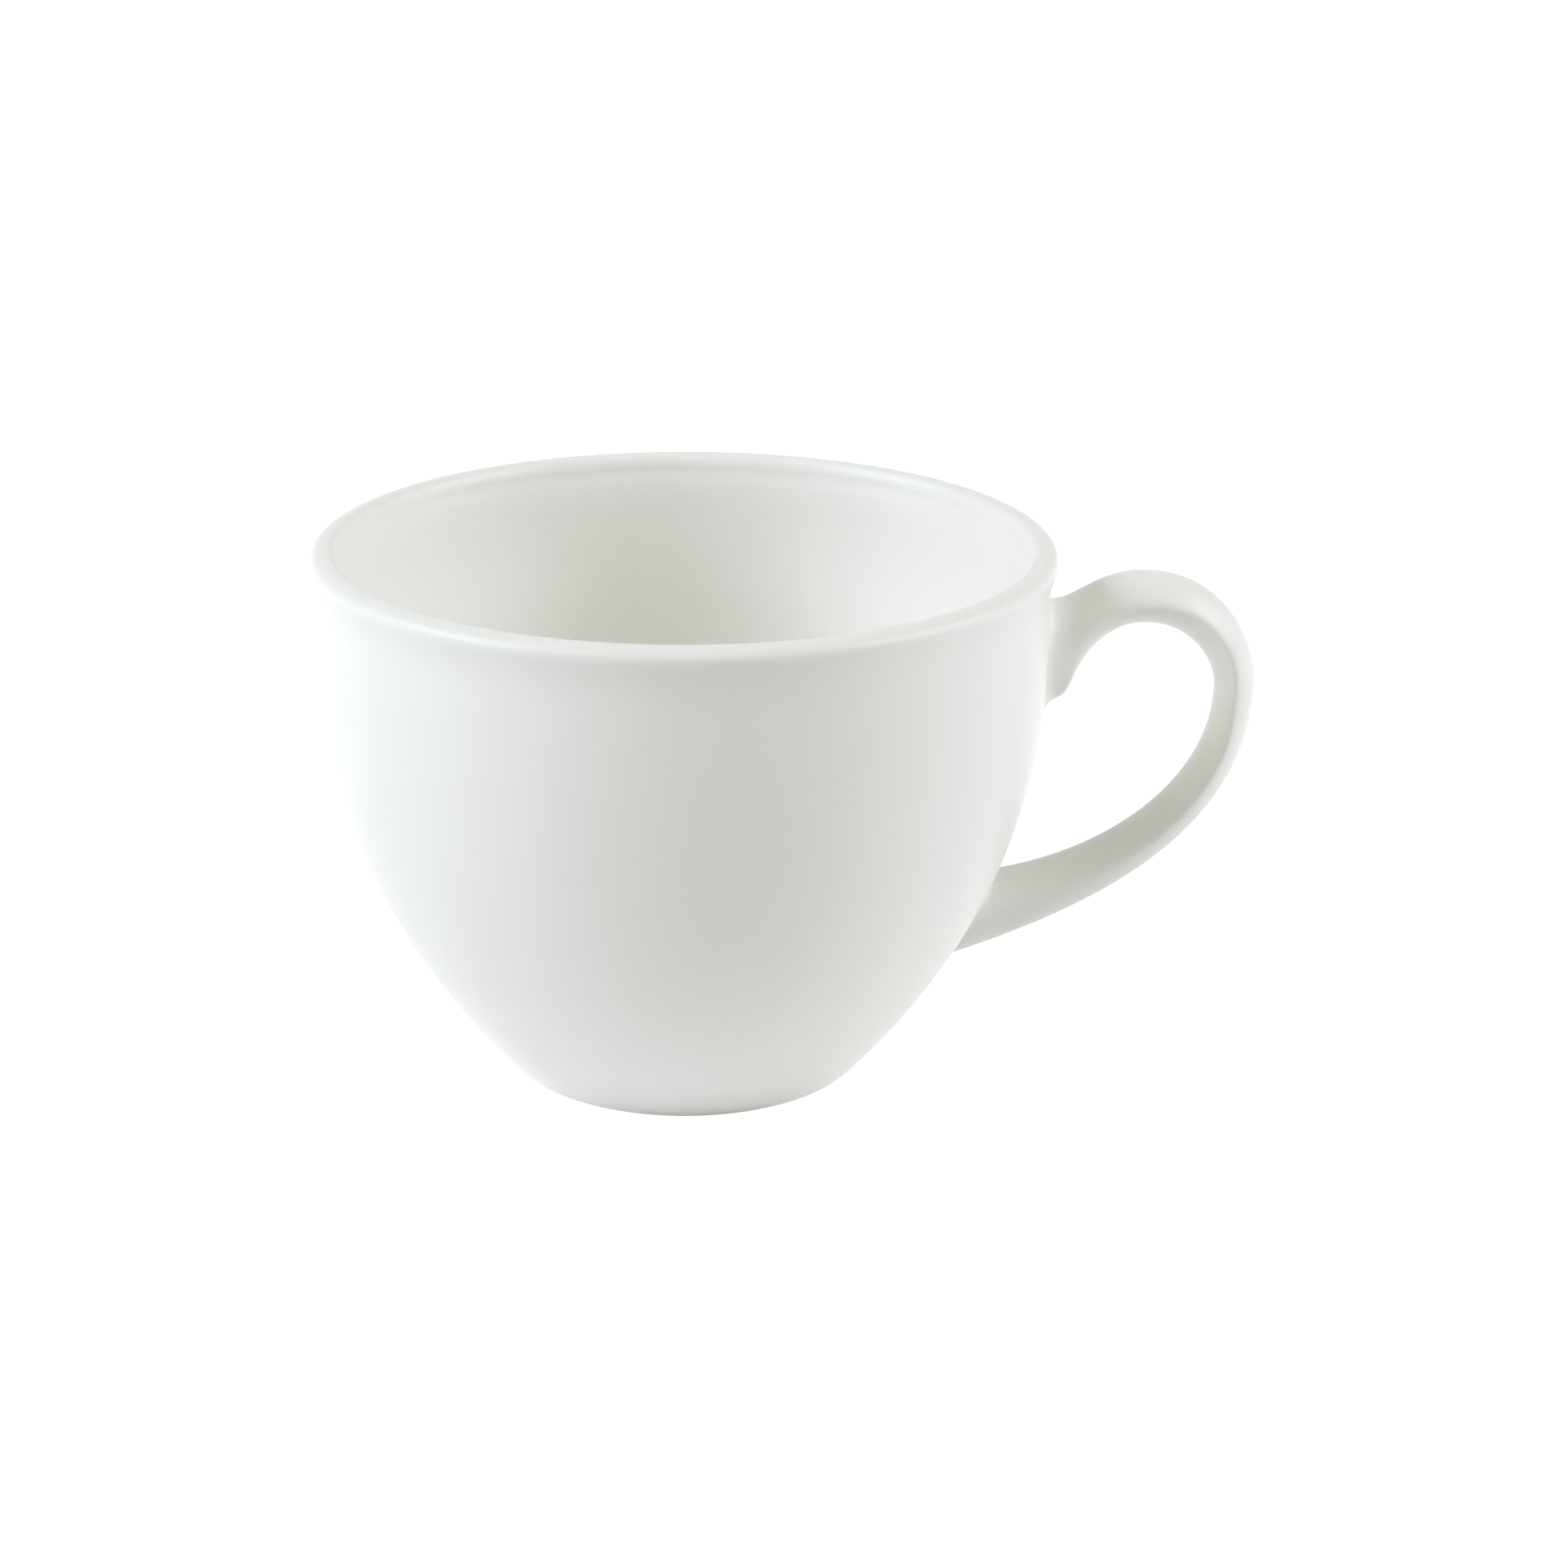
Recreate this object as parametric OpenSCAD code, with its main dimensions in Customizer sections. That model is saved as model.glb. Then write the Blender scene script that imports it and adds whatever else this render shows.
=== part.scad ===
// White glazed coffee cup with a cast loop handle, in millimetres.
// The origin is the centre of the foot on the table, +Z is up and the handle points along +X.
// The bowl and the foot are turned shapes, and the handle is a band lofted between two edge curves.

/* [Bowl] */
// Outside diameter across the rim
rim_d = 90; // [80:0.5:104]
// Height from the table to the top of the rim
cup_h = 66.2; // [60:0.2:80]
// Share of the height over which the wall curves outwards
belly_share = 0.85; // [0.78:0.01:0.9]
// How quickly the wall steepens, as the power of its curve
wall_curve = 2.34; // [2:0.01:3]
// Thickness of the wall at the rim
rim_t = 3.3; // [2.4:0.1:4.5]
// Thickness that the wall grows to at the table
low_wall_t = 4.4; // [3.4:0.1:6]
// Thickness of the floor in the middle
floor_t = 4.2; // [3:0.1:6]
// Diameter of the flat middle of the floor
floor_flat_d = 22; // [14:1:28]
// Height of the rounded corner between the floor and the wall
corner_rise = 7; // [5:0.2:10]

/* [Lip] */
// Height of the part of the wall that leans out to the rim
lip_h = 7.4; // [4:0.2:10]
// Lean of the wall where it meets the rim, in degrees
lip_angle = 14.6; // [4:0.2:18]

/* [Foot] */
// Diameter where the line of the wall meets the table
foot_d = 43.9; // [38:0.1:50]
// Height of the foot ring
foot_h = 2.6; // [1.8:0.1:4]
// Width of the flat ring that stands on the table
stand_w = 2; // [1.2:0.1:3]
// Radius of the edges of the foot ring
foot_edge_r = 0.8; // [0.4:0.05:1.1]
// Lean of the inner side of the foot ring, in degrees
foot_draft = 22; // [5:1:35]
// Rise of the underside in the middle of the recess
recess_dome = 0.6; // [0.2:0.1:1.5]

/* [Handle loop] */
// Distance from the rim's edge out to the highest point of the loop
loop_top_out = 11.1; // [9:0.1:15]
// Drop from the rim to the highest point of the loop
loop_top_drop = 4.9; // [3.5:0.1:7]
// Thickness of the band at the highest point
loop_top_t = 6.4; // [5:0.1:7]
// Distance from the rim's edge out to the outermost point of the loop
loop_reach = 25.6; // [23:0.1:30]
// Drop from the rim to the outermost point of the loop
loop_side_drop = 19.3; // [17:0.1:22]
// Drop from the rim to the outermost point of the inner edge
loop_inner_drop = 20.8; // [18.5:0.1:23]
// Thickness of the band at the outermost point
loop_side_t = 4.9; // [4:0.1:6]
// Width of the band where it is held
grip_w = 10; // [8:0.1:12.5]
// Sharpness of the two ridges where the band's outer and inner faces meet, 0 for a plain oval
ridge = 0.4; // [0:0.05:0.5]

/* [Handle roots] */
// Drop from the rim to the top of the upper root
root_drop = 8.6; // [8:0.1:10]
// Height of the upper root on the wall
root_len = 13; // [11:0.1:15]
// Width of the upper root on the wall
root_w = 11.4; // [9:0.1:14]
// Rise of the top of the upper root as it leaves the wall, in degrees
root_angle = 14; // [5:1:20]
// Distance that the spur under the upper root stands off the wall
spur_out = 3.1; // [2.6:0.1:4.2]
// Slope of the underside of the spur as it leaves the wall, in degrees
spur_slope = 25; // [10:1:35]
// Radius of the tip of the spur
spur_r = 1; // [0.6:0.1:1.4]
// Slope of the inner edge as it leaves the spur, in degrees
spur_angle = 74; // [65:1:82]
// Height above the table of the underside of the lower root
low_root_h = 11; // [9:0.1:13]
// Height of the lower root on the wall
low_root_len = 11.4; // [10:0.1:13]
// Width of the lower root on the wall
low_root_w = 10.8; // [9:0.1:12.5]
// Slope of the outer edge where it meets the wall, in degrees
low_outer_angle = 17.6; // [12:0.2:22]
// Slope of the inner edge where it meets the wall, in degrees
low_inner_angle = 6; // [2:0.5:12]

/* [Slip joints] */
// Thickness of the bed of slip between the handle and the wall
slip_t = 0.5; // [0.3:0.05:0.9]
// Reach of the slip fillet along the wall, above and beside a root
slip_reach = 1; // [0.6:0.1:1.6]
// Climb of the slip fillet up the handle, above and beside a root
slip_climb = 0.8; // [0.4:0.1:1.2]
// Reach of the slip fillet down the wall under the spur
spur_reach = 3.2; // [1.6:0.1:3.6]
// Climb of the slip fillet up the handle under the spur
spur_climb = 1.3; // [0.8:0.1:2]
// Thickness of the slip fillet where it ends
slip_edge = 0.15; // [0.1:0.01:0.25]

/* [Hidden] */

white_glaze = [0.95, 0.95, 0.93];
slip_glaze = [0.93, 0.93, 0.9];

// Clearance between faces of separate pieces that lie against a curved wall
seat_gap = 0.02;

// Counts of steps along the curves
wall_steps = 48;
rim_steps = 16;
corner_steps = 14;
dome_steps = 8;
edge_steps = 5;
turn_steps = 144;
around = 36;
spur_steps = 3;
rise_steps = 11;
bend_steps = 13;
run_steps = 20;
fillet_steps = 5;
cap_shares = [0.25, 0.5, 0.75];

// Share of the rise over which the band narrows, share of the run over which its ridges fade out,
// and share of a root's straight start that slip may cover
flare_share = 0.8;
fade_share = 0.3;
slip_share = 0.95;

// Lengths of the curve handles of the loop's edges, as shares of each stretch's span,
// with the outer edge first and the inner edge second
rise_shares = [[0.22, 0.575], [0.55, 0.47]];
bend_shares = [[0.73, 0.325], [0.615, 0.51]];
run_shares = [[0.525, 0.55], [0.49, 0.575]];

// Outer wall: a power curve out to the belly, then a lean out to the rim
rim_r = rim_d / 2;
foot_r = foot_d / 2;
lip_r = rim_t / 2;
lip_top_h = cup_h - lip_r * (1 + sin(lip_angle));
lip_base_h = lip_top_h - lip_h;
lip_out = lip_h * tan(lip_angle) / 2;
wall_max_r = rim_r - lip_r * (1 - cos(lip_angle)) - lip_out;
belly_h = belly_share * cup_h;
function below_belly(h) = max(0, 1 - h / belly_h);
function above_lip(h) = max(0, (h - lip_base_h) / lip_h);
function wall_r(h) =
    wall_max_r - (wall_max_r - foot_r) * pow(below_belly(h), wall_curve) + lip_out * pow(above_lip(h), 2);
function wall_lean(h) =
    let (curve = (wall_max_r - foot_r) * wall_curve / belly_h * pow(below_belly(h), wall_curve - 1))
    atan(curve + 2 * lip_out / lip_h * above_lip(h));

// Inner wall: the outer wall moved in by a thickness that grows towards the table
function wall_t(h) = rim_t + (low_wall_t - rim_t) * pow(1 - h / lip_top_h, 2);
function inner_point(h) =
    [wall_r(h) - wall_t(h) * cos(wall_lean(h)), h + wall_t(h) * sin(wall_lean(h))];
floor_top = foot_h + floor_t;
corner_top = floor_top + corner_rise;
corner_h = corner_top - low_wall_t * sin(wall_lean(corner_top - low_wall_t / 2));
corner_end = inner_point(corner_h);
corner_lean = wall_lean(corner_h);
corner_knee = [corner_end.x - tan(corner_lean) * (corner_end.y - floor_top), floor_top];

// Foot ring: its outer edge runs on from the wall, and its inner side narrows the recess upwards
foot_lean = wall_lean(0);
foot_edge_h = foot_edge_r * (1 - sin(foot_lean));
stand_out_r = wall_r(foot_edge_h) - foot_edge_r * cos(foot_lean);
stand_in_r = stand_out_r - stand_w;
recess_low = [stand_in_r - foot_edge_r * cos(foot_draft), foot_edge_r * (1 - sin(foot_draft))];
recess_r = recess_low.x - (foot_h - recess_low.y) * tan(foot_draft);

// Places of the handle's roots and turning points, as [distance from the axis, height]
root_top_h = cup_h - root_drop;
spur_h = root_top_h - root_len;
low_root_top_h = low_root_h + low_root_len;
root_x = wall_r(root_top_h) + slip_t;
spur_x = wall_r(spur_h) + slip_t;
block_out = spur_out - slip_t;
root_top = [root_x, root_top_h];
root_end = [root_x + block_out, root_top_h + block_out * tan(root_angle)];
function spur_line(out) = [spur_x + out, spur_h + out * tan(spur_slope)];
spur_bend = spur_line(block_out - spur_r);
spur_corner = spur_line(block_out);
spur_tip = spur_corner + spur_r * [cos(spur_angle), sin(spur_angle)];
top_outer = [rim_r + loop_top_out, cup_h - loop_top_drop];
top_inner = top_outer - [0, loop_top_t];
side_outer = [rim_r + loop_reach, cup_h - loop_side_drop];
side_inner = [side_outer.x - loop_side_t, cup_h - loop_inner_drop];
low_outer = [wall_r(low_root_h) + slip_t, low_root_h];
low_inner = [wall_r(low_root_top_h) + slip_t, low_root_top_h];

function heading(angle) = [cos(angle), sin(angle)];
function cubic(a, b, c, d, t) =
    pow(1 - t, 3) * a + 3 * t * pow(1 - t, 2) * b + 3 * t * t * (1 - t) * c + pow(t, 3) * d;
function quadratic(a, b, c, t) = pow(1 - t, 2) * a + 2 * t * (1 - t) * b + t * t * c;
function smooth(t) = t * t * (3 - 2 * t);
function steps(n) = [for (i = [1:n]) i / n];

// Stretches of an edge of the band: up to the top, round to the outermost point, and back to the wall
function rise(from, angle, to, shares, t) =
    let (span = to - from)
    let (leave = angle > 45 ? span.y : span.x)
    cubic(from, from + shares[0] * leave * heading(angle), to - [shares[1] * span.x, 0], to, t);
function bend(from, to, shares, t) =
    let (span = to - from)
    cubic(from, from + [shares[0] * span.x, 0], to - [0, shares[1] * span.y], to, t);
function run(from, to, angle, shares, t) =
    let (span = from - to)
    cubic(from, from - [0, shares[0] * span.y], to + shares[1] * span.x * heading(angle), to, t);

// Stations of the band after the one on the wall, as [outer edge, inner edge, width, ridge]
block_share = (block_out - spur_r) / block_out;
root_station = [root_top + block_share * (root_end - root_top), spur_bend, root_w, 0];
spur_stations = [for (t = steps(spur_steps))
    let (s = block_share + t * (1 - block_share))
    [root_top + s * (root_end - root_top), quadratic(spur_bend, spur_corner, spur_tip, t), root_w, 0]];
rise_stations = [for (t = steps(rise_steps))
    let (narrowing = smooth(min(1, t / flare_share)))
    [rise(root_end, root_angle, top_outer, rise_shares[0], t),
     rise(spur_tip, spur_angle, top_inner, rise_shares[1], t),
     root_w + (grip_w - root_w) * narrowing,
     ridge * narrowing]];
bend_stations = [for (t = steps(bend_steps))
    [bend(top_outer, side_outer, bend_shares[0], t),
     bend(top_inner, side_inner, bend_shares[1], t),
     grip_w,
     ridge]];
run_stations = [for (t = steps(run_steps))
    [run(side_outer, low_outer, low_outer_angle, run_shares[0], t),
     run(side_inner, low_inner, low_inner_angle, run_shares[1], t),
     grip_w + (low_root_w - grip_w) * smooth(t),
     ridge * smooth(min(1, (1 - t) / fade_share))]];
stations = concat([root_station], spur_stations, rise_stations, bend_stations, run_stations);

function turn(k) = 360 * k / around;

// Length round a ring, from a pair for its outer edge and sides and for its inner edge
function blend(pair, k) = pair[0] + (pair[1] - pair[0]) * smooth(max(0, -cos(turn(k))));

// Oval ring of points between an outer and an inner edge, grown all round by a margin,
// with its faces flattened towards the ridges at its sides
function oval(station, margin) =
    let (outer = station[0])
    let (inner = station[1])
    let (middle = (outer + inner) / 2)
    let (half = (outer - inner) / 2)
    let (grown = half * (1 + margin / norm(half)))
    let (half_w = station[2] / 2 + margin)
    [for (k = [0:around - 1])
        let (reach = cos(turn(k)) * (1 - station[3] * pow(sin(turn(k)), 2)))
        [middle.x + reach * grown.x, half_w * sin(turn(k)), middle.y + reach * grown.y]];

// Oval ring laid on the wall round a root, as a share of the root grown by a pair of margins
function on_wall(root, share, margins, gap) =
    let (half = (root[0] - root[1]) / 2)
    [for (k = [0:around - 1])
        let (margin = blend(margins, k))
        let (h = (root[0] + root[1]) / 2 + share * (half + sign(half) * margin) * cos(turn(k)))
        let (y = share * (root[2] / 2 + margin) * sin(turn(k)))
        [sqrt(pow(wall_r(h) + gap, 2) - y * y), y, h]];

// Patch of the wall round a root: its middle point, and its rings from the middle outwards
function middle_point(root, gap) = [wall_r((root[0] + root[1]) / 2) + gap, 0, (root[0] + root[1]) / 2];
function patch(root, margins, gap) = [for (s = concat(cap_shares, [1])) on_wall(root, s, margins, gap)];
function reversed(list) = [for (i = [len(list) - 1:-1:0]) list[i]];

// Ring where the slip ends on the handle, a pair of climbs up the straight stretch from a root
function collar(root, station, climbs, margin) =
    let (low = on_wall(root, 1, [margin, margin], slip_t))
    let (high = oval(station, margin))
    [for (k = [0:around - 1])
        let (line = high[k] - low[k])
        low[k] + line * min(slip_share, blend(climbs, k) / norm(line))];

// Rings of a slip fillet, from its edge on the handle down to its edge on the wall
function fillet(root, station, climbs, reaches) =
    let (top = collar(root, station, climbs, slip_edge))
    let (seat = on_wall(root, 1, on_root, slip_t))
    let (foot = on_wall(root, 1, reaches, seat_gap + slip_edge))
    [for (t = [0:fillet_steps])
        [for (k = [0:around - 1]) quadratic(top[k], seat[k], foot[k], t / fillet_steps)]];

// Roots of the handle on the wall, as [height of the outer edge, height of the inner edge, width]
upper_root = [root_top_h, spur_h, root_w];
lower_root = [low_root_h, low_root_top_h, low_root_w];
low_station = stations[len(stations) - 2];
band = [for (i = [0:len(stations) - 2]) oval(stations[i], 0)];

// Margins of the slip round the roots, as pairs for the outer edge and sides and for the inner edge
on_root = [0, 0];
upper_reaches = [slip_reach, spur_reach];
upper_climbs = [slip_climb, spur_climb];
lower_reaches = [slip_reach, slip_reach];
lower_climbs = [slip_climb, slip_climb];
upper_collar = collar(upper_root, root_station, upper_climbs, 0);
lower_collar = collar(lower_root, low_station, lower_climbs, 0);

// Closed skin over rings of points that starts and ends in a single point
module skin(start, rings, end, hollow) {
    count = len(rings);
    points = concat([start], [for (ring = rings) each ring], [end]);
    spot = function(i, k) 1 + i * around + k % around;
    start_fan = [for (k = [0:around - 1]) [0, spot(0, k), spot(0, k + 1)]];
    end_fan = [for (k = [0:around - 1]) [1 + count * around, spot(count - 1, k + 1), spot(count - 1, k)]];
    bands = [for (i = [0:count - 2], k = [0:around - 1])
        let (far = spot(i + 1, k + 1))
        each [[spot(i, k), spot(i + 1, k), far], [spot(i, k), far, spot(i, k + 1)]]];
    faces = concat(start_fan, bands, end_fan);
    polyhedron(points, hollow ? [for (f = faces) reversed(f)] : faces);
}

// Thrown bowl: outer wall, rounded rim, inner wall, rounded corner, floor and arched underside
module bowl() {
    outside = [for (i = [0:wall_steps])
        let (h = foot_h + (lip_top_h - foot_h) * i / wall_steps)
        [wall_r(h), h]];
    rim = [for (i = [1:rim_steps])
        [rim_r - lip_r, cup_h - lip_r] + lip_r * heading(180 * i / rim_steps - lip_angle)];
    inside = [for (i = [1:wall_steps]) inner_point(lip_top_h + (corner_h - lip_top_h) * i / wall_steps)];
    corner = [for (t = steps(corner_steps))
        quadratic(corner_end, corner_knee, [floor_flat_d / 2, floor_top], t)];
    underside = [for (i = [0:dome_steps])
        [recess_r * i / dome_steps, foot_h + recess_dome * (1 - pow(i / dome_steps, 2))]];
    color(white_glaze)
        rotate_extrude($fn = turn_steps)
            polygon(concat(outside, rim, inside, corner, [[0, floor_top]], underside));
}

// Foot ring: flush with the wall outside, with a rounded standing edge and a leaning inner side
module foot_ring() {
    outer_edge = [for (i = [0:edge_steps])
        let (angle = (90 - foot_lean) * i / edge_steps - 90)
        [stand_out_r, foot_edge_r] + foot_edge_r * heading(angle)];
    outer_side = [for (i = [1:edge_steps])
        let (h = foot_edge_h + (foot_h - foot_edge_h) * i / edge_steps)
        [wall_r(h), h]];
    inner_edge = [for (i = [0:edge_steps])
        let (angle = foot_draft - 180 + (90 - foot_draft) * i / edge_steps)
        [stand_in_r, foot_edge_r] + foot_edge_r * heading(angle)];
    color(white_glaze)
        rotate_extrude($fn = turn_steps)
            polygon(concat(outer_edge, outer_side, [[recess_r, foot_h]], inner_edge));
}

// Cast handle: an oval band that flares to a spur at its upper root and tapers down to its lower root
module handle() {
    rings = concat(patch(upper_root, on_root, slip_t), [upper_collar], band, [lower_collar],
        reversed(patch(lower_root, on_root, slip_t)));
    color(white_glaze)
        skin(middle_point(upper_root, slip_t), rings, middle_point(lower_root, slip_t), false);
}

// Slip that beds the upper root on the wall and rises round it as a fillet, widest under the spur
module upper_handle_joint() {
    rings = concat(patch(upper_root, on_root, slip_t), [upper_collar],
        fillet(upper_root, root_station, upper_climbs, upper_reaches),
        reversed(patch(upper_root, upper_reaches, seat_gap)));
    color(slip_glaze)
        skin(middle_point(upper_root, slip_t), rings, middle_point(upper_root, seat_gap), true);
}

// Slip that beds the lower root on the wall and rises round it as a fillet
module lower_handle_joint() {
    rings = concat(patch(lower_root, lower_reaches, seat_gap),
        reversed(fillet(lower_root, low_station, lower_climbs, lower_reaches)),
        [lower_collar], reversed(patch(lower_root, on_root, slip_t)));
    color(slip_glaze)
        skin(middle_point(lower_root, seat_gap), rings, middle_point(lower_root, slip_t), true);
}

bowl();
foot_ring();
handle();
upper_handle_joint();
lower_handle_joint();
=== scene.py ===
from math import atan, cos, pi, radians, sin, sqrt, tan

import bmesh
import bpy
from mathutils import Matrix, Vector


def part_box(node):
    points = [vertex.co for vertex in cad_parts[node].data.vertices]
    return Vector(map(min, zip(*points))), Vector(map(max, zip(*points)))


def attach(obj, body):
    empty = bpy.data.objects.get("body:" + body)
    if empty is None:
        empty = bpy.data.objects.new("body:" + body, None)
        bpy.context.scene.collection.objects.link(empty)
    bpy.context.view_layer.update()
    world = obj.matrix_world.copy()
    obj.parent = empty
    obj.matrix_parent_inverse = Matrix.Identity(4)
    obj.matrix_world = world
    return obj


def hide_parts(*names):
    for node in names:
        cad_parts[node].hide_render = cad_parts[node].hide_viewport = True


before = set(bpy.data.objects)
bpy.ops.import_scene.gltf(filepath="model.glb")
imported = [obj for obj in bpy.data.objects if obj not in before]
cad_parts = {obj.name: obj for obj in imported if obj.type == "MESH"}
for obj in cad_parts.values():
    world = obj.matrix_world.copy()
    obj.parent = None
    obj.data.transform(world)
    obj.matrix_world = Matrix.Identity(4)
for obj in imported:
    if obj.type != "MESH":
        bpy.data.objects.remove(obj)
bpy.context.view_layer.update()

MM = 0.001

# The cup stands on its foot at the origin, with its handle along +X. All sizes are in metres.
bowl_low, bowl_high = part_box("bowl")
handle_low, handle_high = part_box("handle")

# Bowl
RIM_R = bowl_high.x
CUP_H = bowl_high.z
FOOT_H = bowl_low.z
BELLY_H = 0.85 * CUP_H
WALL_CURVE = 2.34
LOW_WALL_T = 4.4 * MM
FLOOR_T = 4.2 * MM
FLOOR_FLAT_R = 11 * MM
CORNER_RISE = 7 * MM

# Lip: rounder outside than inside, over a flare that the inside shares in part
LIP_T = 3.3 * MM
LIP_ROUND_W = 2 * MM
LIP_ROUND_H = 1.6 * MM
LIP_INNER_H = 2.2 * MM
LIP_H = 4.6 * MM
LIP_ANGLE = radians(19.5)
LIP_INNER_SHARE = 0.8

# Foot
FOOT_R = 21.95 * MM
STAND_W = 2 * MM
FOOT_EDGE_R = 0.8 * MM
FOOT_DRAFT = radians(22)
RECESS_DOME = 0.6 * MM

# Handle loop
TOP_X = RIM_R + 11.1 * MM
TOP_H = handle_high.z
TOP_T = 6.4 * MM
SIDE_X = handle_high.x
SIDE_H = CUP_H - 19.2 * MM
SIDE_INNER_H = CUP_H - 20.95 * MM
SIDE_T = 4.8 * MM
GRIP_W = 10 * MM
RIDGE = 0.4
RIDGE_LEAN = 0.4

# Handle roots
ROOT_TOP_H = CUP_H - 8.3 * MM
SPUR_H = ROOT_TOP_H - 13.2 * MM
ROOT_W = 11.4 * MM
ROOT_START_ANGLE = radians(-8)
ROOT_ANGLE = radians(22)
SPUR_OUT = 3.1 * MM
SPUR_SLOPE = radians(25)
SPUR_R = 1 * MM
SPUR_ANGLE = radians(74)
LOW_ROOT_H = handle_low.z
LOW_ROOT_TOP_H = LOW_ROOT_H + 11.3 * MM
LOW_ROOT_W = 10.8 * MM
LOW_OUTER_ANGLE = radians(17.3)
LOW_INNER_ANGLE = radians(5.3)
SLIP_T = 0.5 * MM
SINK = 1.2 * MM

# Lengths of the curve handles of the loop's edges, as shares of each stretch's span,
# with the outer edge first and the inner edge second
RISE_SHARES = ((0.307, 0.5), (0.552, 0.462))
BEND_SHARES = ((0.718, 0.332), (0.572, 0.54))
RUN_SHARES = ((0.533, 0.563), (0.514, 0.598))

# Shares of the rise over which the root narrows, and of the run over which the ridges
# grow lower, and how much lower they get
FLARE_SHARE = 0.8
FADE_SHARE = 0.12
FADE_DEPTH = 0.25

# Slip fillets round the roots: reach along the wall and reach up the handle,
# round most of a root, under the spur and over the lower root
FILLET_SIDE = 0.6 * MM
FILLET_UP = 1.2 * MM
FILLET_SPUR = 3.2 * MM
FILLET_SPUR_UP = 1.25 * MM
FILLET_LOW = 1.6 * MM
FILLET_LOW_UP = 1.8 * MM
FILLET_SUNK = 0.03 * MM
FILLET_DEPTH = 0.6 * MM

# Counts of steps round the cup, along the curves and round the handle
TURN_STEPS = 192
WALL_STEPS = 64
RIM_STEPS = 14
CORNER_STEPS = 16
DOME_STEPS = 8
EDGE_STEPS = 8
AROUND = 96
ROOT_STEPS = 4
SPUR_STEPS = 8
RISE_STEPS = 22
BEND_STEPS = 26
RUN_STEPS = 40
FILLET_STEPS = 10

# Gap under which points are merged, and the sharpest turn that is shaded smooth
MERGE_GAP = 0.001 * MM
SMOOTH_ANGLE = radians(40)

# Glaze: sizes of its slight unevenness, its index of refraction, and its roughness
# where it is smoothest and dullest
GLAZE_DRIFT = 28 * MM
GLAZE_RIPPLE = 6 * MM
RIPPLE_HEIGHT = 0.004 * MM
GLAZE_IOR = 1.5
GLAZE_SMOOTH = 0.38
GLAZE_DULL = 0.43

# Camera, worked out from the photograph: place of the eye, and where it looks
EYE = Vector((-23.58, -408.65, 179.85)) * MM
LOOK_AZIMUTH = radians(5)
LOOK_DOWN = radians(19.495)
ROLL = radians(0.42)
LENS_MM = 80.66
SENSOR_MM = 36

# Studio: a white floor that also glows for the camera, and softboxes by
# azimuth from the handle and elevation, both in degrees, colour and power in watts
FLOOR_SIZE = 4
FLOOR_WHITE = "#ECECEC"
FLOOR_GLOW = 0.88
WORLD_LIGHT = "#6C704D"
WORLD_SHOWN = "#FFFFFF"
LAMP_AIM = Vector((0, 0, 0.04))
LAMP_DISTANCE = 1.2
LAMP_SIZE = (0.8, 0.65)
SOFTBOXES = (
    ("left_softbox", 190, 32, "#E8EBFF", 10.20),
    ("right_softbox", 350, 32, "#F0F2FF", 8.28),
    ("high_softbox", 210, 54, "#FFFDFA", 1.97),
    ("low_softbox", 8, 12, "#EAEDFF", 1.08),
)


# Outline of the bowl
LIP_START = atan(LIP_ROUND_H / LIP_ROUND_W * tan(LIP_ANGLE))
LIP_TOP_H = CUP_H - LIP_ROUND_H * (1 + sin(LIP_START))
LIP_BASE_H = LIP_TOP_H - LIP_H
LIP_OUT = LIP_H * tan(LIP_ANGLE) / 2
WALL_MAX_R = RIM_R - LIP_ROUND_W * (1 - cos(LIP_START)) - LIP_OUT
RIM_T = LIP_T - RIM_R + WALL_MAX_R + LIP_INNER_SHARE * LIP_OUT


def below_belly(h):
    return max(0, 1 - h / BELLY_H)


def above_lip(h):
    return max(0, (h - LIP_BASE_H) / LIP_H)


def wall_r(h, flare=1):
    """Outside radius of the wall at a height, with all or a share of the lip's flare."""
    lip = flare * LIP_OUT * above_lip(h) ** 2
    return WALL_MAX_R - (WALL_MAX_R - FOOT_R) * below_belly(h) ** WALL_CURVE + lip


def wall_lean(h, flare=1):
    """Lean of the wall from upright at a height, with all or a share of the lip's flare."""
    curve = (WALL_MAX_R - FOOT_R) * WALL_CURVE / BELLY_H * below_belly(h) ** (WALL_CURVE - 1)
    return atan(curve + 2 * flare * LIP_OUT / LIP_H * above_lip(h))


def inner_point(h):
    """Point on the inside of the wall, which flares less than the outside."""
    thickness = RIM_T + (LOW_WALL_T - RIM_T) * (1 - h / LIP_TOP_H) ** 2
    lean = wall_lean(h, LIP_INNER_SHARE)
    return Vector((wall_r(h, LIP_INNER_SHARE) - thickness * cos(lean), h + thickness * sin(lean)))


def cubic(a, b, c, d, t):
    return (1 - t) ** 3 * a + 3 * t * (1 - t) ** 2 * b + 3 * t * t * (1 - t) * c + t ** 3 * d


def quadratic(a, b, c, t):
    return (1 - t) ** 2 * a + 2 * t * (1 - t) * b + t * t * c


def heading(angle):
    return Vector((cos(angle), sin(angle)))


def smooth(t):
    return t * t * (3 - 2 * t)


def steps(count):
    """Even steps up to 1, without the start."""
    return [i / count for i in range(1, count + 1)]


def marks(count):
    """Even steps from 0 up to 1."""
    return [0] + steps(count)


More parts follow.
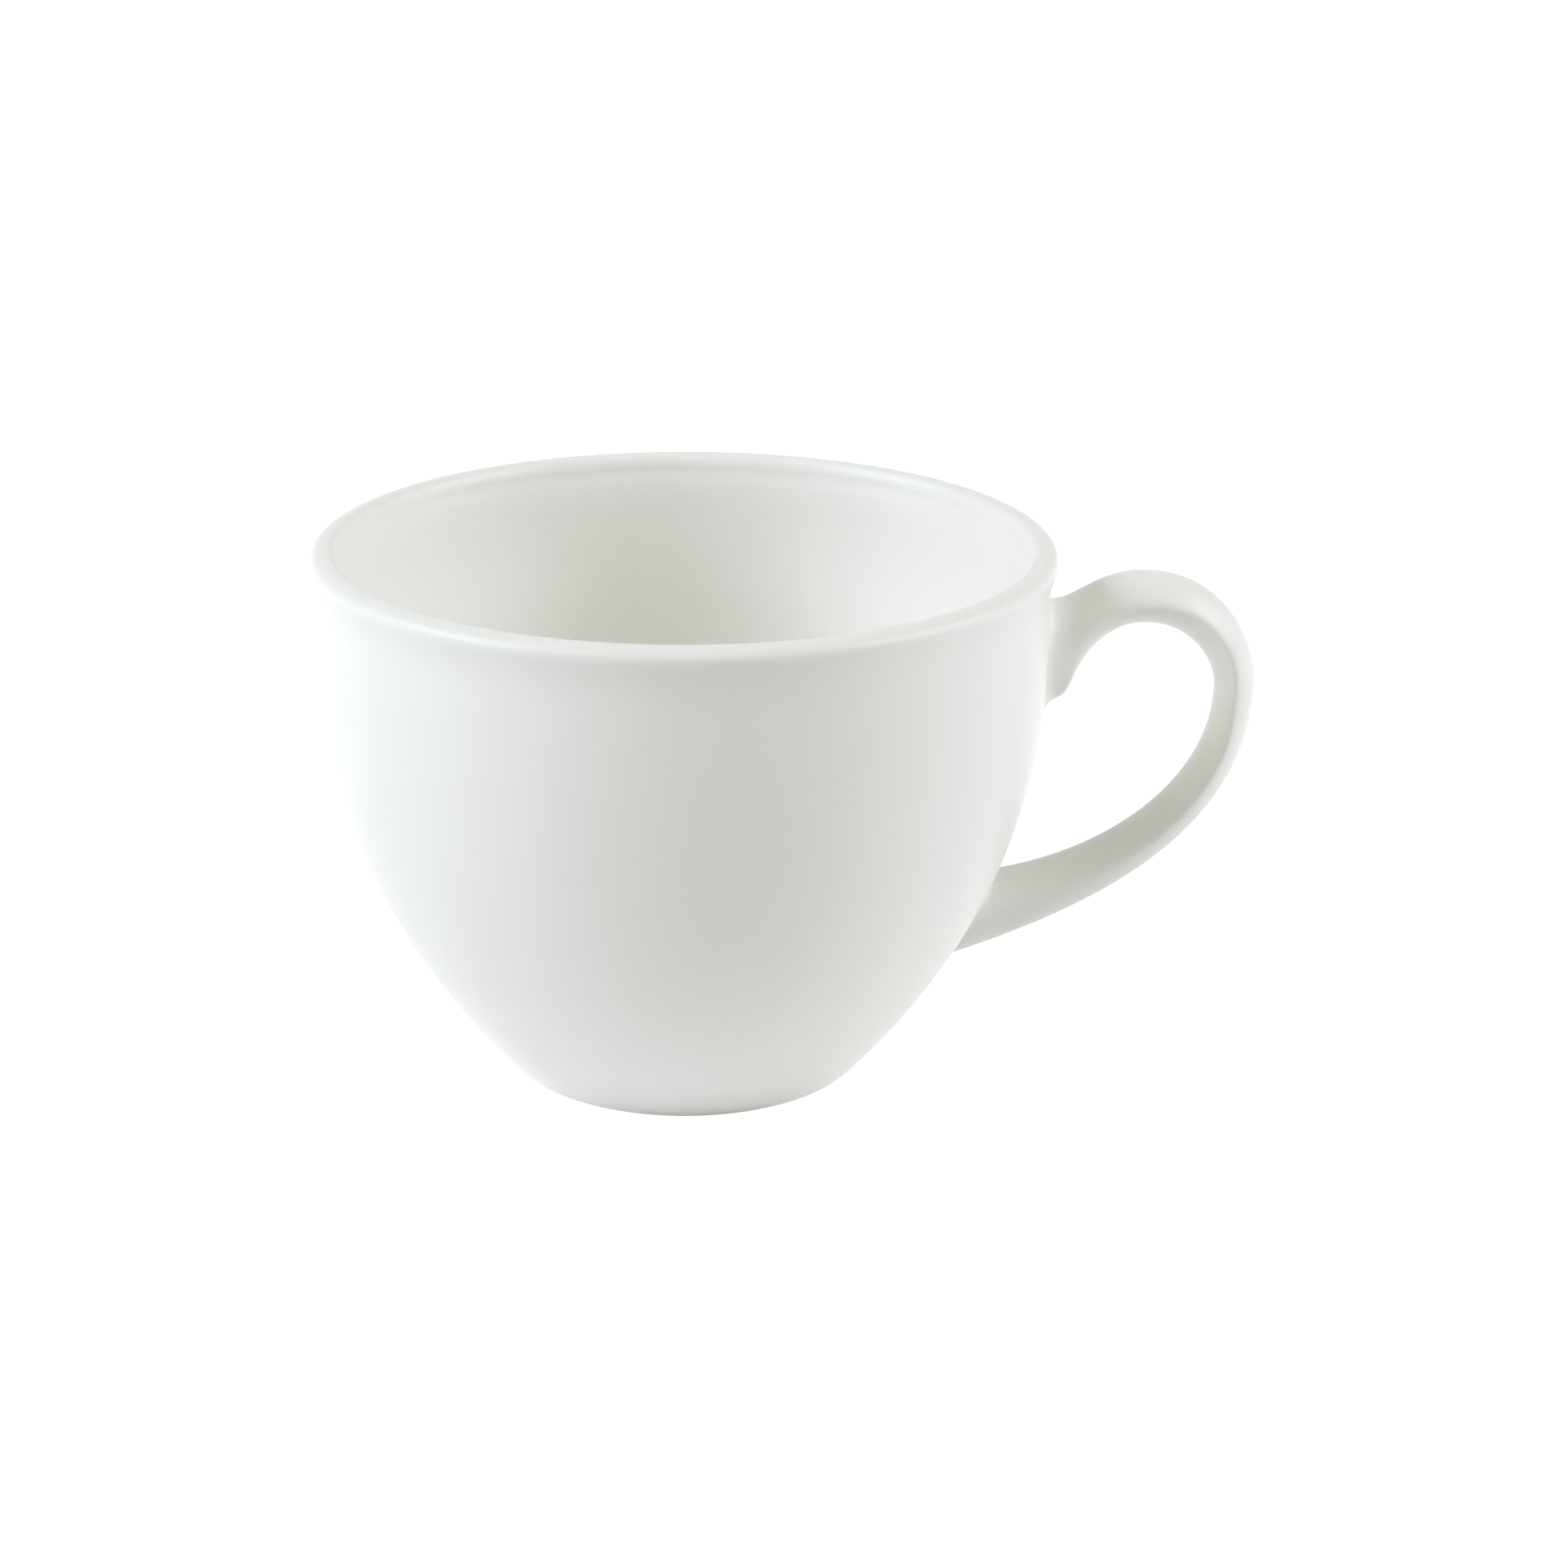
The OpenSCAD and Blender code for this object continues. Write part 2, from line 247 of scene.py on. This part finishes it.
def bowl_outline():
    """Points of the bowl, from the middle of its underside out, up, over the lip and down to its floor."""
    floor_top = FOOT_H + FLOOR_T
    corner_top = floor_top + CORNER_RISE
    corner_h = corner_top - LOW_WALL_T * sin(wall_lean(corner_top - LOW_WALL_T / 2))
    corner_end = inner_point(corner_h)
    knee_out = tan(wall_lean(corner_h)) * (corner_end.y - floor_top)
    corner_knee = Vector((corner_end.x - knee_out, floor_top))
    corner_start = Vector((FLOOR_FLAT_R, floor_top))
    underside = [Vector((RECESS_R * s, FOOT_H + RECESS_DOME * (1 - s * s))) for s in marks(DOME_STEPS)]
    outer_heights = [FOOT_H + (LIP_TOP_H - FOOT_H) * s for s in marks(WALL_STEPS)]
    outside = [Vector((wall_r(h), h)) for h in outer_heights]
    lip_middle = Vector((RIM_R - LIP_ROUND_W, CUP_H - LIP_ROUND_H))
    outer_turns = [(pi / 2 + LIP_START) * s - LIP_START for s in steps(RIM_STEPS)]
    rim = [lip_middle + Vector((LIP_ROUND_W * cos(turn), LIP_ROUND_H * sin(turn))) for turn in outer_turns]
    crest = rim[-1]
    inner_w = LIP_T - LIP_ROUND_W
    inner_turns = [pi / 2 * s for s in steps(RIM_STEPS)]
    rim += [crest - Vector((inner_w * sin(turn), LIP_INNER_H * (1 - cos(turn)))) for turn in inner_turns]
    inner_heights = [LIP_TOP_H + (corner_h - LIP_TOP_H) * s for s in steps(WALL_STEPS)[1:]]
    inside = [inner_point(h) for h in inner_heights]
    corner = [quadratic(corner_end, corner_knee, corner_start, s) for s in steps(CORNER_STEPS)]
    return underside + outside + rim + inside + corner + [Vector((0, floor_top))]


# Outline of the foot
FOOT_LEAN = wall_lean(0)
FOOT_EDGE_H = FOOT_EDGE_R * (1 - sin(FOOT_LEAN))
STAND_OUT_R = wall_r(FOOT_EDGE_H) - FOOT_EDGE_R * cos(FOOT_LEAN)
STAND_IN_R = STAND_OUT_R - STAND_W
RECESS_LOW_R = STAND_IN_R - FOOT_EDGE_R * cos(FOOT_DRAFT)
RECESS_LOW_H = FOOT_EDGE_R * (1 - sin(FOOT_DRAFT))
RECESS_R = RECESS_LOW_R - (FOOT_H - RECESS_LOW_H) * tan(FOOT_DRAFT)


def foot_outline():
    """Points of the foot ring, from its standing face out, up, in and down again."""
    outer_middle = Vector((STAND_OUT_R, FOOT_EDGE_R))
    inner_middle = Vector((STAND_IN_R, FOOT_EDGE_R))
    outer_turns = [(pi / 2 - FOOT_LEAN) * s - pi / 2 for s in marks(EDGE_STEPS)]
    outer_edge = [outer_middle + FOOT_EDGE_R * heading(turn) for turn in outer_turns]
    side_heights = [FOOT_EDGE_H + (FOOT_H - FOOT_EDGE_H) * s for s in steps(EDGE_STEPS)]
    outer_side = [Vector((wall_r(h), h)) for h in side_heights]
    inner_turns = [FOOT_DRAFT - pi + (pi / 2 - FOOT_DRAFT) * s for s in marks(EDGE_STEPS)]
    inner_edge = [inner_middle + FOOT_EDGE_R * heading(turn) for turn in inner_turns]
    return outer_edge + outer_side + [Vector((RECESS_R, FOOT_H))] + inner_edge


# Edges of the handle, as points of distance from the axis and height
ROOT_X = wall_r(ROOT_TOP_H) + SLIP_T
SPUR_X = wall_r(SPUR_H) + SLIP_T
BLOCK_OUT = SPUR_OUT - SLIP_T
ROOT_TOP = Vector((ROOT_X, ROOT_TOP_H))
ROOT_KNEE = ROOT_TOP + BLOCK_OUT / 2 * Vector((1, tan(ROOT_START_ANGLE)))
ROOT_END = ROOT_KNEE + BLOCK_OUT / 2 * Vector((1, tan(ROOT_ANGLE)))
SPUR_UNDER = Vector((SPUR_X, SPUR_H))
SPUR_BEND = SPUR_UNDER + (BLOCK_OUT - SPUR_R) * Vector((1, tan(SPUR_SLOPE)))
SPUR_CORNER = SPUR_UNDER + BLOCK_OUT * Vector((1, tan(SPUR_SLOPE)))
SPUR_TIP = SPUR_CORNER + SPUR_R * heading(SPUR_ANGLE)
TOP_OUTER = Vector((TOP_X, TOP_H))
TOP_INNER = Vector((TOP_X, TOP_H - TOP_T))
SIDE_OUTER = Vector((SIDE_X, SIDE_H))
SIDE_INNER = Vector((SIDE_X - SIDE_T, SIDE_INNER_H))
LOW_OUTER = Vector((wall_r(LOW_ROOT_H) + SLIP_T, LOW_ROOT_H))
LOW_INNER = Vector((wall_r(LOW_ROOT_TOP_H) + SLIP_T, LOW_ROOT_TOP_H))


def rise(start, angle, end, shares, t):
    """Point of an edge from the upper root up to the top, where it is level."""
    span = end - start
    leave = span.y if angle > pi / 4 else span.x
    leaving = start + shares[0] * leave * heading(angle)
    arriving = end - Vector((shares[1] * span.x, 0))
    return cubic(start, leaving, arriving, end, t)


def bend(start, end, shares, t):
    """Point of an edge from the top, where it is level, to the side, where it is upright."""
    span = end - start
    leaving = start + Vector((shares[0] * span.x, 0))
    arriving = end - Vector((0, shares[1] * span.y))
    return cubic(start, leaving, arriving, end, t)


def run(start, end, angle, shares, t):
    """Point of an edge from the side, where it is upright, down and in to the lower root."""
    span = start - end
    leaving = start - Vector((0, shares[0] * span.y))
    arriving = end + shares[1] * span.x * heading(angle)
    return cubic(start, leaving, arriving, end, t)


def root_station(out):
    """Station on the straight underside of the upper root, at a distance out from its foot."""
    outer = quadratic(ROOT_TOP, ROOT_KNEE, ROOT_END, out / BLOCK_OUT)
    inner = SPUR_UNDER + out * Vector((1, tan(SPUR_SLOPE)))
    return outer, inner, ROOT_W, 0, 0


def run_station(t):
    """Station of the run from the outermost point down to the lower root."""
    outer = run(SIDE_OUTER, LOW_OUTER, LOW_OUTER_ANGLE, RUN_SHARES[0], t)
    inner = run(SIDE_INNER, LOW_INNER, LOW_INNER_ANGLE, RUN_SHARES[1], t)
    width = GRIP_W + (LOW_ROOT_W - GRIP_W) * smooth(t)
    left = 1 - FADE_DEPTH * (1 - smooth(min(1, (1 - t) / FADE_SHARE)))
    return outer, inner, width, RIDGE * left, RIDGE_LEAN * left


def handle_stations():
    """Stations of the band from inside the wall round to inside it again.

    Each is (outer edge, inner edge, width, ridge, lean of the ridges towards the inner edge).
    """
    sunk = Vector((SLIP_T + SINK, 0))
    stations = [(ROOT_TOP - sunk, SPUR_UNDER - sunk, ROOT_W, 0, 0), root_station(0)]
    stations += [root_station(t * (BLOCK_OUT - SPUR_R)) for t in steps(ROOT_STEPS)]
    for t in steps(SPUR_STEPS):
        outer = root_station(BLOCK_OUT + (t - 1) * SPUR_R)[0]
        stations.append((outer, quadratic(SPUR_BEND, SPUR_CORNER, SPUR_TIP, t), ROOT_W, 0, 0))
    for t in steps(RISE_STEPS):
        outer = rise(ROOT_END, ROOT_ANGLE, TOP_OUTER, RISE_SHARES[0], t)
        inner = rise(SPUR_TIP, SPUR_ANGLE, TOP_INNER, RISE_SHARES[1], t)
        narrowing = smooth(min(1, t / FLARE_SHARE))
        width = ROOT_W + (GRIP_W - ROOT_W) * narrowing
        stations.append((outer, inner, width, RIDGE * narrowing, 0))
    for t in steps(BEND_STEPS):
        outer = bend(TOP_OUTER, SIDE_OUTER, BEND_SHARES[0], t)
        inner = bend(TOP_INNER, SIDE_INNER, BEND_SHARES[1], t)
        stations.append((outer, inner, GRIP_W, RIDGE, RIDGE_LEAN * t ** 3))
    stations += [run_station(t) for t in steps(RUN_STEPS)]
    last_outer = LOW_OUTER - (SLIP_T + SINK) * heading(LOW_OUTER_ANGLE)
    last_inner = LOW_INNER - (SLIP_T + SINK) * heading(LOW_INNER_ANGLE)
    stations.append((last_outer, last_inner) + run_station(1)[2:])
    return stations


def in_plane(point):
    """A point of the handle's plane as a point in space."""
    return Vector((point.x, 0, point.y))


def start_piece(name, add_primitive, **sizes):
    """Adds a primitive with nothing else selected, and opens it in edit mode with all of it selected."""
    bpy.ops.object.select_all(action="DESELECT")
    add_primitive(**sizes)
    piece = bpy.context.object
    piece.name = name
    piece.data.name = name
    bpy.ops.object.mode_set(mode="EDIT")
    bpy.ops.mesh.select_all(action="SELECT")
    return piece


def finish_piece(piece, material, node):
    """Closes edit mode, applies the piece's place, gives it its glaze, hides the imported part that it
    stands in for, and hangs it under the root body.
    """
    bpy.ops.object.mode_set(mode="OBJECT")
    bpy.ops.object.transform_apply(location=True, rotation=True, scale=True)
    bpy.ops.object.shade_smooth_by_angle(angle=SMOOTH_ANGLE)
    piece.data.materials.clear()
    piece.data.materials.append(material)
    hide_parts(node)
    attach(piece, "root")
    piece.select_set(False)


def turned(name, outline):
    """Draws an outline by extruding a point, and spins it round the cup's axis."""
    piece = start_piece(name, bpy.ops.mesh.primitive_plane_add, size=MM, location=in_plane(outline[0]))
    bpy.ops.mesh.merge(type="CENTER")
    for here, there in zip(outline, outline[1:]):
        bpy.ops.mesh.extrude_vertices_move(TRANSFORM_OT_translate={"value": in_plane(there - here)})
    bpy.ops.mesh.select_all(action="SELECT")
    bpy.ops.mesh.spin(steps=TURN_STEPS, angle=2 * pi, center=(0, 0, 0), axis=(0, 0, 1))
    bpy.ops.mesh.select_all(action="SELECT")
    bpy.ops.mesh.remove_doubles(threshold=MERGE_GAP)
    bpy.ops.mesh.normals_make_consistent(inside=False)
    return piece


def build_bowl(material):
    finish_piece(turned("glazed_bowl", bowl_outline()), material, "bowl")


def build_foot(material):
    outline = foot_outline()
    piece = turned("glazed_foot_ring", outline + [outline[0]])
    finish_piece(piece, material, "foot_ring")


def section_reach(angle, ridge, lean):
    """How far towards the outer edge, of half a station's thickness, its oval lies at an angle."""
    return cos(angle) * (1 - ridge * sin(angle) ** 2) - lean * sin(angle) ** 2


def oval_point(station, angle, margin):
    """Point of a station's oval at an angle from its outer edge, with the oval grown by a margin."""
    outer, inner, width, ridge, lean = station
    half = (outer - inner) / 2
    reach = (half.length + margin) * section_reach(angle, ridge, lean)
    along = (outer + inner) / 2 + reach * half.normalized()
    return Vector((along.x, (width / 2 + margin) * sin(angle), along.y))


def skinned(name, rings, closed):
    """Skin over rings of points, opened in edit mode.

    It closes either from the last ring to the first, or with a face at both ends.
    """
    mesh = bpy.data.meshes.new(name)
    piece = bpy.data.objects.new(name, mesh)
    bpy.context.scene.collection.objects.link(piece)
    shape = bmesh.new()
    loops = [[shape.verts.new(point) for point in ring] for ring in rings]
    for here, there in zip(loops, loops[1:] + loops[:1] if closed else loops[1:]):
        for i in range(len(here)):
            shape.faces.new((here[i - 1], here[i], there[i], there[i - 1]))
    if not closed:
        shape.faces.new(loops[0])
        shape.faces.new(loops[-1])
    bmesh.ops.recalc_face_normals(shape, faces=shape.faces)
    shape.to_mesh(mesh)
    shape.free()
    bpy.ops.object.select_all(action="DESELECT")
    piece.select_set(True)
    bpy.context.view_layer.objects.active = piece
    bpy.ops.object.mode_set(mode="EDIT")
    return piece


def build_handle(material):
    """Band skinned over its stations, because its section changes from an oval to one with two ridges."""
    angles = [2 * pi * i / AROUND for i in range(AROUND)]
    rings = [[oval_point(station, angle, 0) for angle in angles] for station in handle_stations()]
    finish_piece(skinned("glazed_handle", rings, False), material, "handle")


def wall_point(root, angle, margin, depth):
    """Point on the wall round a root, with the root grown by a margin, let into the wall by a depth.

    A root is (height of its outer edge, height of its inner edge, width, ridge, lean).
    """
    outer_h, inner_h, width, ridge, lean = root
    half = (outer_h - inner_h) / 2
    grown = half + (margin if half > 0 else -margin)
    h = (outer_h + inner_h) / 2 + grown * section_reach(angle, ridge, lean)
    y = (width / 2 + margin) * sin(angle)
    return Vector((sqrt((wall_r(h) - depth) ** 2 - y * y), y, h))


def slip_section(station_at, root, angle, up, reach):
    """Points across the fillet at an angle: from the handle down to the wall, and back inside both."""
    from_handle = oval_point(station_at(up), angle, -FILLET_SUNK)
    seat = wall_point(root, angle, 0, -SLIP_T)
    on_wall = wall_point(root, angle, reach, FILLET_SUNK)
    in_wall = wall_point(root, angle, reach, FILLET_DEPTH)
    in_handle = oval_point(station_at(0), angle, -FILLET_DEPTH)
    shown = [quadratic(from_handle, seat, on_wall, s) for s in marks(FILLET_STEPS)]
    return shown + [in_wall, in_handle]


def build_slip_joint(name, section_at, material, node):
    """Ring of slip, skinned section by section because its edge lies on the curved wall."""
    sections = [section_at(2 * pi * i / AROUND) for i in range(AROUND)]
    finish_piece(skinned(name, sections, True), material, node)


def build_upper_joint(material):
    root = (ROOT_TOP_H, SPUR_H, ROOT_W, 0, 0)

    def section_at(angle):
        lower = smooth(max(0, -cos(angle)))
        up = FILLET_UP + (FILLET_SPUR_UP - FILLET_UP) * lower
        reach = FILLET_SIDE + (FILLET_SPUR - FILLET_SIDE) * lower
        return slip_section(root_station, root, angle, up, reach)

    build_slip_joint("glazed_upper_joint", section_at, material, "upper_handle_joint")


def build_lower_joint(material):
    root = (LOW_ROOT_H, LOW_ROOT_TOP_H) + run_station(1)[2:]
    end_speed = 3 * RUN_SHARES[0][1] * (SIDE_OUTER.x - LOW_OUTER.x)

    def station_at(out):
        """Station of the run at about a distance out from the lower root, by its speed at the end."""
        return run_station(1 - out / end_speed)

    def section_at(angle):
        upper = smooth(max(0, -cos(angle)))
        up = FILLET_UP + (FILLET_LOW_UP - FILLET_UP) * upper
        reach = FILLET_SIDE + (FILLET_LOW - FILLET_SIDE) * upper
        return slip_section(station_at, root, angle, up, reach)

    build_slip_joint("glazed_lower_joint", section_at, material, "lower_handle_joint")


def linear(code):
    """Linear colour of an sRGB hex value."""
    parts = [int(code[i:i + 2], 16) / 255 for i in (1, 3, 5)]
    return [c / 12.92 if c <= 0.04045 else ((c + 0.055) / 1.055) ** 2.4 for c in parts] + [1]


def add_node(tree, kind, settings, links):
    """Adds a node, sets its settings and inputs, and links its inputs."""
    node = tree.nodes.new(kind)
    for name, value in settings.items():
        if isinstance(name, int) or name in node.inputs:
            node.inputs[name].default_value = value
        else:
            setattr(node, name, value)
    for name, source in links.items():
        tree.links.new(source, node.inputs[name])
    return node


def new_material(name):
    material = bpy.data.materials.new(name)
    material.use_nodes = True
    material.node_tree.nodes.clear()
    return material, material.node_tree


def glazed_porcelain(name, white, shade):
    """Glazed porcelain: dense white clay under a clear fired glaze, which gives a soft, broad shine."""
    material, tree = new_material(name)
    place = add_node(tree, "ShaderNodeTexCoord", {}, {}).outputs["Object"]
    drift = add_node(tree, "ShaderNodeTexNoise", {"Scale": 1 / GLAZE_DRIFT, "Detail": 1}, {"Vector": place})
    colour = add_node(tree, "ShaderNodeMixRGB", {"Color1": linear(white), "Color2": linear(shade)},
                      {"Fac": drift.outputs["Fac"]})
    rough = add_node(tree, "ShaderNodeMapRange", {"To Min": GLAZE_SMOOTH, "To Max": GLAZE_DULL},
                     {"Value": drift.outputs["Fac"]})
    ripple = add_node(tree, "ShaderNodeTexNoise", {"Scale": 1 / GLAZE_RIPPLE, "Detail": 0},
                      {"Vector": place})
    bump = add_node(tree, "ShaderNodeBump", {"Strength": 1, "Distance": RIPPLE_HEIGHT},
                    {"Height": ripple.outputs["Fac"]})
    shader = add_node(tree, "ShaderNodeBsdfPrincipled", {"IOR": GLAZE_IOR},
                      {"Base Color": colour.outputs["Color"], "Roughness": rough.outputs["Result"],
                       "Normal": bump.outputs["Normal"]})
    add_node(tree, "ShaderNodeOutputMaterial", {}, {"Surface": shader.outputs["BSDF"]})
    return material


def build_camera():
    level = Vector((cos(LOOK_AZIMUTH), -sin(LOOK_AZIMUTH), 0))
    ahead = Vector((sin(LOOK_AZIMUTH), cos(LOOK_AZIMUTH), 0))
    forward = cos(LOOK_DOWN) * ahead - Vector((0, 0, sin(LOOK_DOWN)))
    upright = level.cross(forward)
    right = cos(ROLL) * level + sin(ROLL) * upright
    up = cos(ROLL) * upright - sin(ROLL) * level
    camera = bpy.data.objects.new("camera", bpy.data.cameras.new("camera"))
    bpy.context.scene.collection.objects.link(camera)
    camera.data.lens = LENS_MM
    camera.data.sensor_width = SENSOR_MM
    camera.matrix_world = Matrix((right, up, -forward)).transposed().to_4x4()
    camera.matrix_world.translation = EYE
    bpy.context.scene.camera = camera


def shown_white(tree):
    """1 for what the camera and mirror-like surfaces see, and 0 for the light that falls on things."""
    path = add_node(tree, "ShaderNodeLightPath", {}, {}).outputs
    shown = add_node(tree, "ShaderNodeMath", {"operation": "MAXIMUM"},
                     {0: path["Is Camera Ray"], 1: path["Is Glossy Ray"]})
    either = add_node(tree, "ShaderNodeMath", {"operation": "MAXIMUM"},
                      {0: shown.outputs[0], 1: path["Is Transmission Ray"]})
    return either.outputs[0]


def build_floor():
    bpy.ops.object.select_all(action="DESELECT")
    bpy.ops.mesh.primitive_plane_add(size=FLOOR_SIZE)
    floor = bpy.context.object
    floor.name = "floor"
    material, tree = new_material("matt_white_paper")
    matt = add_node(tree, "ShaderNodeBsdfDiffuse", {"Color": linear(FLOOR_WHITE)}, {})
    glow = add_node(tree, "ShaderNodeMath", {"operation": "MULTIPLY", 1: FLOOR_GLOW},
                    {0: shown_white(tree)})
    white = add_node(tree, "ShaderNodeEmission", {}, {"Strength": glow.outputs[0]})
    both = add_node(tree, "ShaderNodeAddShader", {}, {0: matt.outputs[0], 1: white.outputs[0]})
    add_node(tree, "ShaderNodeOutputMaterial", {}, {"Surface": both.outputs[0]})
    floor.data.materials.append(material)


def build_world():
    world = bpy.data.worlds.new("studio")
    bpy.context.scene.world = world
    world.use_nodes = True
    tree = world.node_tree
    tree.nodes.clear()
    seen = add_node(tree, "ShaderNodeBackground", {"Color": linear(WORLD_SHOWN)}, {})
    around = add_node(tree, "ShaderNodeBackground", {"Color": linear(WORLD_LIGHT)}, {})
    mix = add_node(tree, "ShaderNodeMixShader", {},
                   {0: shown_white(tree), 1: around.outputs[0], 2: seen.outputs[0]})
    add_node(tree, "ShaderNodeOutputWorld", {}, {"Surface": mix.outputs[0]})


def build_softbox(name, azimuth, elevation, colour, power):
    """Softbox: an area lamp turned to the cup."""
    level = cos(radians(elevation))
    away = Vector((level * cos(radians(azimuth)), level * sin(radians(azimuth)), sin(radians(elevation))))
    lamp = bpy.data.lights.new(name, "AREA")
    lamp.shape = "RECTANGLE"
    lamp.size, lamp.size_y = LAMP_SIZE
    lamp.color = linear(colour)[:3]
    lamp.energy = power
    holder = bpy.data.objects.new(name, lamp)
    bpy.context.scene.collection.objects.link(holder)
    holder.location = LAMP_AIM + LAMP_DISTANCE * away
    holder.rotation_euler = (-away).to_track_quat("-Z", "Y").to_euler()


def main():
    white_glaze = glazed_porcelain("glazed_porcelain", "#FBFBF7", "#F9F9F4")
    slip_glaze = glazed_porcelain("glazed_slip", "#FAFAF5", "#F8F8F2")
    build_bowl(white_glaze)
    build_foot(white_glaze)
    build_handle(white_glaze)
    build_upper_joint(slip_glaze)
    build_lower_joint(slip_glaze)
    build_camera()
    build_floor()
    build_world()
    for softbox in SOFTBOXES:
        build_softbox(*softbox)
    bpy.context.scene.view_settings.view_transform = "Standard"


main()
